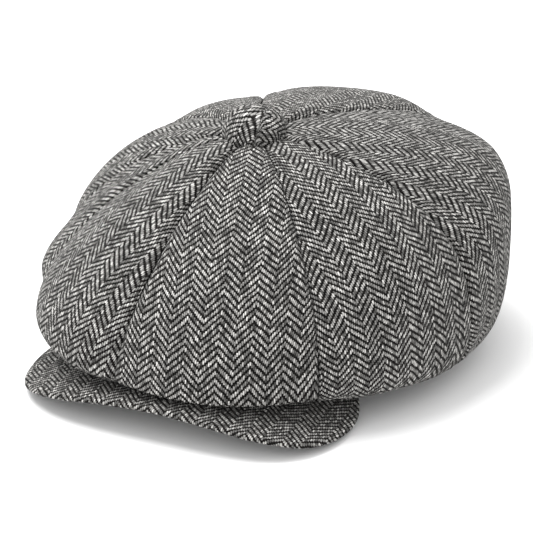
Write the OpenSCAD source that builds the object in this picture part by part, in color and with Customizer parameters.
// Eight-panel newsboy cap with a covered top button, a soft crown that slouches towards one side,
// and a stiff arched peak that flexes on its seam.
// Frame: +Z up, the peak faces -Y, +X is the wearer's left. The origin is the centre of the head
// opening, in the plane on which the rear of the band rests.
// Directions around the head are angles: 0 at the front (-Y), 90 at the wearer's left (+X).

/* [Head band] */
// Half length of the outer band, front to back
band_half_l = 101; // [98:0.5:103]
// Half width of the outer band, side to side
band_half_w = 84; // [82:0.5:86]
// Height of the outer band
band_h = 24; // [20:1:26]
// Thickness of the outer band's cloth
band_t = 2; // [1.5:0.1:2.2]
// How far the band arches up at the front, over the peak
band_arch = 15; // [12:1:17]
// Height of the sweatband inside
sweatband_h = 32; // [28:1:34]
// Thickness of the sweatband
sweatband_t = 0.8; // [0.6:0.1:1]

/* [Crown] */
// Half length of the crown's widest line, front to back
crown_half_l = 145.5; // [142:0.5:149]
// Half width of the crown's widest line, side to side
crown_half_w = 144; // [140:0.5:147]
// How far the crown slouches towards the wearer's left
slouch_x = 8.5; // [4:0.5:10]
// How far the crown's centre lies behind the opening's centre
slouch_y = 4; // [2:0.5:8]
// Height of the crown under the button
crown_h = 137.5; // [132:0.5:142]
// Where the button sits, front to back
apex_y = -9; // [-14:1:0]
// Turn of the panels around the button, in degrees
panel_turn = 10; // [4:1:12]
// Mean height of the crown's widest line
edge_mean = 42.5; // [38:0.5:45]
// How much higher the widest line runs at the rear than at the mean
edge_rear = 16; // [14:1:18]
// How much higher the widest line runs at the wearer's right
edge_right = 8; // [4:1:10]
// Height of the roll that hangs outside the band, at the sides
roll_side = 5.5; // [5.5:0.5:7]
// Height of the roll above the base plane, at the rear
roll_rear = 4; // [3:0.5:6]
// Height of the roll that lies over the peak, at the front
roll_front = 24; // [23.5:0.5:26]
// Thickness of the panels' cloth
cloth_t = 2; // [1.6:0.1:2.2]
// Gap between neighbouring panels
panel_gap = 0.3; // [0.2:0.05:0.5]
// How far the lining hangs inside the outer cloth
lining_inset = 4; // [3.5:0.5:5]
// Thickness of the lining
lining_t = 0.6; // [0.4:0.1:0.8]

/* [Peak] */
// Half width of the peak
peak_half_w = 103; // [98:1:104]
// Depth of the peak in front of the band
peak_depth = 59; // [54:1:64]
// Height of the middle of the peak at the band
peak_rise = 23.5; // [21:0.5:24]
// How far the peak arches down towards its sides
peak_arch = 16.2; // [15:0.1:16.4]
// Slope of the peak down towards its front edge
peak_slope = 0.044; // [0.02:0.002:0.06]
// Thickness of the peak's cloth
peak_cloth_t = 1.4; // [1.2:0.1:1.6]
// Thickness of the stiff board in the peak
board_t = 1.2; // [0.8:0.1:1.4]
// Gap between the peak and the band that it flexes on
peak_clearance = 2.5; // [2:0.1:3]

/* [Button] */
// Diameter of the covered button
button_d = 31; // [26:1:34]
// Height of the button's dome
button_h = 8; // [6:0.5:10]

/* [Hidden] */

$fn = 64;
// Directions of the seams before the turn, from the front panel's right-hand seam round towards the
// wearer's left. The slouch draws the rear seams out of their even spacing.
SEAMS = [-22.5, 22.5, 67.5, 140, 195, 230, 270, 292.5, 337.5];
// How far each panel puffs out between its seams, from the front panel towards the wearer's left
PUFF = [4, 4, 8, 10, 5.5, 6, 3, 9.5];
// Share of the puff that is left on the widest line and below it
PUFF_LOW = [1, 1, 0, 0.4, 1, 1, 2.4, 1];
// Height above the base plane from which the panels are pushed outwards
puff_z = 30;
// Roundness of a panel's puff across its width
puff_power = 2.2;
// Oval and three-cornered part of the crown's plan, as shares of its size
oval = 0.054;
three_cos = 0.0165;
three_sin = -0.0225;
// Powers that set how boxy the crown's upper curve is: outwards and upwards
out_power = 1.45;
up_power = 0.82;
up_front = 0.37;
up_left = -0.3;
out_left = -0.15;
// Power and reach of the curve under the widest line
under_power = 0.8;
roll_share = 0.35;
// How far short of the widest line the lining turns inwards at the front, as a share of the curve
lining_short = 0.25;
// The dimple that the button is pulled into
dimple = 4;
dimple_r = 30;
// Rows of each panel, from beside the button, over the widest line (1) and the roll (2), to the band (3)
TOP_ROW = 0.09;
gap = 0.3;
NORMAL_STEP = 0.01;
RING_STEPS = 72;
PEAK_COLUMNS = 32;
PEAK_ROWS = 8;
peak_end_angle = 61;
peak_back_y = -46;
peak_end_w = 5;
peak_end_power = 18;
peak_corner_x = 0.52;
peak_corner_y = 0.52;
peak_ref = 95;

tweed = [0.43, 0.42, 0.4];
satin = [0.1, 0.1, 0.11];
leather = [0.12, 0.1, 0.09];
board_white = [0.85, 0.85, 0.83];
label_white = [0.9, 0.89, 0.86];
steel = [0.7, 0.7, 0.72];

// ---- Lines around the head ----

function plan(f) = 1 + oval * cos(2 * f) + three_cos * cos(3 * f) + three_sin * sin(3 * f);
function edge_xy(f) = [
    slouch_x + crown_half_w * plan(f) * sin(f),
    slouch_y - crown_half_l * plan(f) * cos(f)];
function edge_z(f) = edge_mean - edge_rear * cos(f) - edge_right * sin(f);
// The roll's height is one cosine series through its three given heights
roll_mean = (roll_front + roll_rear + 2 * roll_side) / 4;
roll_once = (roll_front - roll_rear) / 2;
roll_twice = (roll_front + roll_rear - 2 * roll_side) / 4;
function roll_z(f) = roll_mean + roll_once * cos(f) + roll_twice * cos(2 * f);
function band_xy(f, out) = [(band_half_w + out) * sin(f), -(band_half_l + out) * cos(f)];
function band_lift(f) = band_arch * pow(max(0, cos(f)), 1.3);
function roll_xy(f) = band_xy(f, 0) + roll_share * (edge_xy(f) - band_xy(f, 0));
function seam_z(f) = band_lift(f) + band_h;

// ---- The crown's outer surface ----

// The curve from the button (t = 0) over the widest line (1) and the roll (2) to the band (3)
function upper(f, a) = let(
        s = pow(sin(a), out_power + out_left * sin(f)),
        c = pow(max(0, cos(a)), up_power + up_front * cos(f) + up_left * sin(f)),
        xy = [0, apex_y] + s * (edge_xy(f) - [0, apex_y]),
        r = norm(xy - [0, apex_y]))
    [xy[0], xy[1], edge_z(f) + (crown_h - edge_z(f)) * c - dimple * exp(-pow(r / dimple_r, 2))];
function under(f, a) = let(
        xy = roll_xy(f) + pow(max(0, cos(a)), under_power) * (edge_xy(f) - roll_xy(f)))
    [xy[0], xy[1], edge_z(f) - (edge_z(f) - roll_z(f)) * pow(sin(a), under_power)];
function inward(f, a) = let(
        xy = roll_xy(f) + sin(a) * (band_xy(f, gap) - roll_xy(f)))
    [xy[0], xy[1], roll_z(f) + (1 - cos(a)) * (seam_z(f) - roll_z(f))];
function crown(f, t) = t <= 1 ? upper(f, 90 * t) : t <= 2 ? under(f, 90 * t - 90) : inward(f, 90 * t - 180);

// The puff of panel k at u, from -1 at one seam to 1 at the other
function puff_share(t) = t <= 1 ? pow(sin(90 * t), 1.2) : t <= 2 ? pow(max(0, cos(90 * t - 90)), 0.5) : 0;
function ease(x) = let(s = min(1, max(0, x))) s * s * (3 - 2 * s);
function puff_level(k, t) = 1 + (PUFF_LOW[k] - 1) * ease((t - 0.75) / 0.25);
function puff(k, u, t) = PUFF[k] * puff_share(t) * puff_level(k, t) * (1 - pow(abs(u), puff_power));
function angle(k, u) = (SEAMS[k] * (1 - u) + SEAMS[k + 1] * (1 + u)) / 2 + panel_turn;
function outwards(p) = let(v = p - [0, slouch_y, puff_z]) v / norm(v);
function panel_point(k, u, t) = let(p = crown(angle(k, u), t)) p + puff(k, u, t) * outwards(p);
function unit_cross(a, b) = cross(a, b) / norm(cross(a, b));
function panel_normal(k, u, t) = unit_cross(
    panel_point(k, u, t + NORMAL_STEP) - panel_point(k, u, t - NORMAL_STEP),
    panel_point(k, u + NORMAL_STEP, t) - panel_point(k, u - NORMAL_STEP, t));
// The half width of a panel at t, which turns the gap in millimetres into a share of u
function panel_half_w(k, t) = norm(panel_point(k, 1, t) - panel_point(k, -1, t)) / 2;
function panel_sheet(k, rows, columns, reach, depth) = [for (t = rows) let(
        full = reach * (1 - panel_gap / 2 / panel_half_w(k, t)))
    [for (u = columns) panel_point(k, u * full, t) - depth * panel_normal(k, u * full, t)]];

// ---- The lining's surface, which hangs from near the widest line to the band ----

function lining_turn(f) = 1 - lining_short * max(0, cos(f));
function lining_bottom(f, depth) = let(xy = band_xy(f, -band_t)) [xy[0], xy[1], seam_z(f) + 2 + depth];
function lining_point(f, t, depth) = t <= 1
    ? let(p = crown(f, t * lining_turn(f))) p - (lining_inset + depth) * outwards(p)
    : let(top = lining_point(f, 1, depth), low = lining_bottom(f, depth), a = 90 * t - 90)
        [low[0] + cos(a) * (top[0] - low[0]),
         low[1] + cos(a) * (top[1] - low[1]),
         top[2] + sin(a) * (low[2] - top[2])];
function lining_sheet(k, rows, columns, reach, depth) = [for (t = rows)
    [for (u = columns) lining_point(angle(k, u * reach), t, depth)]];

// ---- Solids from sheets of points ----

// A closed solid between two grids of points. Rows run down and columns run to the right, as seen
// from the side that the first grid faces.
module slab(front, back) {
    n = len(front);
    m = len(front[0]);
    points = [for (g = [front, back]) for (row = g) for (p = row) p];
    function f(i, j) = i * m + j;
    function b(i, j) = n * m + i * m + j;
    quads = [
        for (i = [0 : n - 2]) for (j = [0 : m - 2]) [f(i, j), f(i, j + 1), f(i + 1, j + 1), f(i + 1, j)],
        for (i = [0 : n - 2]) for (j = [0 : m - 2]) [b(i, j), b(i + 1, j), b(i + 1, j + 1), b(i, j + 1)],
        for (i = [0 : n - 2]) [f(i, 0), f(i + 1, 0), b(i + 1, 0), b(i, 0)],
        for (i = [0 : n - 2]) [f(i + 1, m - 1), f(i, m - 1), b(i, m - 1), b(i + 1, m - 1)],
        for (j = [0 : m - 2]) [f(0, j + 1), f(0, j), b(0, j), b(0, j + 1)],
        for (j = [0 : m - 2]) [f(n - 1, j), f(n - 1, j + 1), b(n - 1, j + 1), b(n - 1, j)]];
    polyhedron(points, [for (q = quads) for (half = [[q[0], q[1], q[2]], [q[0], q[2], q[3]]]) half]);
}

// A closed ring that follows the band, between two distances outside it and two heights above its
// lower edge
module ring(out_a, out_b, low, high) {
    points = [for (i = [0 : RING_STEPS - 1]) let(f = 360 * i / RING_STEPS, z = band_lift(f))
        for (c = [[out_a, low], [out_a, high], [out_b, high], [out_b, low]])
            let(xy = band_xy(f, c[0])) [xy[0], xy[1], z + c[1]]];
    function at(i, j) = (i % RING_STEPS) * 4 + j % 4;
    polyhedron(points, [for (i = [0 : RING_STEPS - 1]) for (j = [0 : 3])
        for (half = [[at(i, j), at(i, j + 1), at(i + 1, j + 1)], [at(i, j), at(i + 1, j + 1), at(i + 1, j)]])
            half]);
}

// A small patch that follows the inside of the band
module band_patch(centre, half_angle, out, thickness, low, high) {
    columns = [for (i = [0 : 8]) centre - half_angle + half_angle * i / 4];
    function grid(o) = [for (z = [high, low]) [for (f = columns)
        let(xy = band_xy(f, o)) [xy[0], xy[1], band_lift(f) + z]]];
    slab(grid(out), grid(out - thickness));
}

// ---- Crown ----

function spread(low, high, count) = [for (i = [0 : count]) low + (high - low) * i / count];
PANEL_ROWS = concat(spread(TOP_ROW, 1, 11), spread(1.1, 2, 6), spread(2.2, 3, 4));
PANEL_COLUMNS = spread(-1, 1, 10);
LINING_ROWS = concat(spread(0.12, 1, 9), spread(1.15, 2, 5));
LINING_COLUMNS = spread(-1, 1, 6);

module panel(k) {
    color(tweed)
        slab(panel_sheet(k, PANEL_ROWS, PANEL_COLUMNS, 1, 0),
             panel_sheet(k, PANEL_ROWS, PANEL_COLUMNS, 1, cloth_t));
}

module lining(k) {
    reach = 0.985;
    color(satin)
        slab(lining_sheet(k, LINING_ROWS, LINING_COLUMNS, reach, 0),
             lining_sheet(k, LINING_ROWS, LINING_COLUMNS, reach, lining_t));
}

module panel_front() { panel(0); }
module panel_front_left() { panel(1); }
module panel_left() { panel(2); }
module panel_rear_left() { panel(3); }
module panel_rear() { panel(4); }
module panel_rear_right() { panel(5); }
module panel_right() { panel(6); }
module panel_front_right() { panel(7); }

module lining_front() { lining(0); }
module lining_front_left() { lining(1); }
module lining_left() { lining(2); }
module lining_rear_left() { lining(3); }
module lining_rear() { lining(4); }
module lining_rear_right() { lining(5); }
module lining_right() { lining(6); }
module lining_front_right() { lining(7); }

// A blank woven label at the back of the lining
module lining_label() {
    label_t = 0.5;
    rows = spread(0.34, 0.52, 5);
    columns = spread(-0.33, 0.33, 6);
    inside = lining_t + gap;
    color(label_white)
        slab(lining_sheet(3, rows, columns, 1, inside), lining_sheet(3, rows, columns, 1, inside + label_t));
}

// ---- Band, from the outside in ----

interlining_t = 0.8;
interlining_out = -band_t - gap;
sweatband_out = interlining_out - interlining_t - gap;
label_out = sweatband_out - sweatband_t - gap;

module outer_band() { color(tweed) ring(0, -band_t, 0, band_h); }
module band_interlining() {
    color(board_white) ring(interlining_out, interlining_out - interlining_t, 2, band_h - 2);
}
module sweatband() { color(leather) ring(sweatband_out, sweatband_out - sweatband_t, 1, sweatband_h); }
module size_tab() { color(label_white) band_patch(180, 4, label_out, 0.4, 12, 26); }
module care_label() { color(label_white) band_patch(152, 8, label_out, 0.4, 8, 26); }

// ---- Button, from the top down ----

shell_t = 0.5;
cover_t = 1.2;
shank_r = 1.6;
back_t = 1;
// Lowest point of the button, just clear of the cloth that it is pulled into
button_z = crown_h - dimple + 2;

module at_apex(z) { translate([0, apex_y, z]) children(); }
// Half of a flattened dome, as a section to turn
module dome_section(r, h) {
    intersection() {
        scale_h = (r * r + h * h) / (2 * h);
        translate([0, h - scale_h]) circle(scale_h, $fn = 256);
        square([r, h]);
    }
}
module dome_shell(r, h, t) {
    rotate_extrude() difference() {
        dome_section(r, h);
        dome_section(r - t, h - t);
    }
}

module button_cover() { color(tweed) at_apex(button_z) dome_shell(button_d / 2, button_h, cover_t); }
module button_shell() {
    color(steel) at_apex(button_z)
        dome_shell(button_d / 2 - cover_t - gap, button_h - cover_t - gap, shell_t);
}
module button_back() {
    back_r = button_d / 2 - cover_t - shell_t - 3 * gap;
    color(steel) at_apex(button_z) difference() {
        cylinder(r = back_r - 1, h = back_t);
        translate([0, 0, -1]) cylinder(r = shank_r + gap / 2, h = back_t + 2);
    }
}
module button_shank() {
    shank_below = 9.2;
    head_t = 1;
    color(steel) at_apex(button_z - shank_below) {
        cylinder(r = shank_r, h = shank_below + back_t);
        translate([0, 0, shank_below + back_t]) cylinder(r = 3.5, h = head_t);
    }
}
module button_washer() {
    washer_below = 7;
    color(steel) at_apex(button_z - washer_below) difference() {
        cylinder(r = 6, h = 0.8);
        translate([0, 0, -1]) cylinder(r = shank_r + gap / 2, h = 3);
    }
}

// ---- Peak ----

function side(b) = b < 0 ? -1 : 1;
function peak_inner(b) = band_xy(peak_end_angle * b, peak_clearance);
function peak_outer(b) = let(
        reach = band_half_l + peak_back_y + peak_depth,
        corner = peak_half_w - abs(peak_inner(1)[0]) - peak_end_w)
    [side(b) * (peak_half_w * pow(abs(sin(90 * b)), peak_corner_x) - corner * pow(abs(b), peak_end_power)),
     peak_back_y - reach * pow(max(0, cos(90 * b)), peak_corner_y)];
function peak_mid_z(xy) = peak_rise + peak_slope * (xy[1] - peak_back_y) - peak_arch * pow(xy[0] / peak_ref, 2);
// A point of the peak's middle surface, v from the band (0) to the front edge (1)
function peak_point(b, v, up) = let(xy = peak_inner(b) + v * (peak_outer(b) - peak_inner(b)))
    [xy[0], xy[1], peak_mid_z(xy) + up];
function peak_sheet(up, inset) = [for (v = spread(inset, 1 - inset, PEAK_ROWS))
    [for (b = spread(inset - 1, 1 - inset, PEAK_COLUMNS)) peak_point(b, v, up)]];
module peak_layer(top, bottom, inset) { slab(peak_sheet(top, inset), peak_sheet(bottom, inset)); }

peak_gap = 0.1;
board_top = board_t / 2;
module peak_top_cover() {
    color(tweed) peak_layer(board_top + peak_gap + peak_cloth_t, board_top + peak_gap, 0);
}
module peak_board() { color(board_white) peak_layer(board_top, -board_top, 0.02); }
module peak_under_cover() {
    color(tweed) peak_layer(-board_top - peak_gap, -board_top - peak_gap - peak_cloth_t, 0);
}

panel_front();
panel_front_left();
panel_left();
panel_rear_left();
panel_rear();
panel_rear_right();
panel_right();
panel_front_right();
lining_front();
lining_front_left();
lining_left();
lining_rear_left();
lining_rear();
lining_rear_right();
lining_right();
lining_front_right();
outer_band();
band_interlining();
sweatband();
size_tab();
care_label();
lining_label();
button_cover();
button_shell();
button_back();
button_shank();
button_washer();
peak_top_cover();
peak_board();
peak_under_cover();
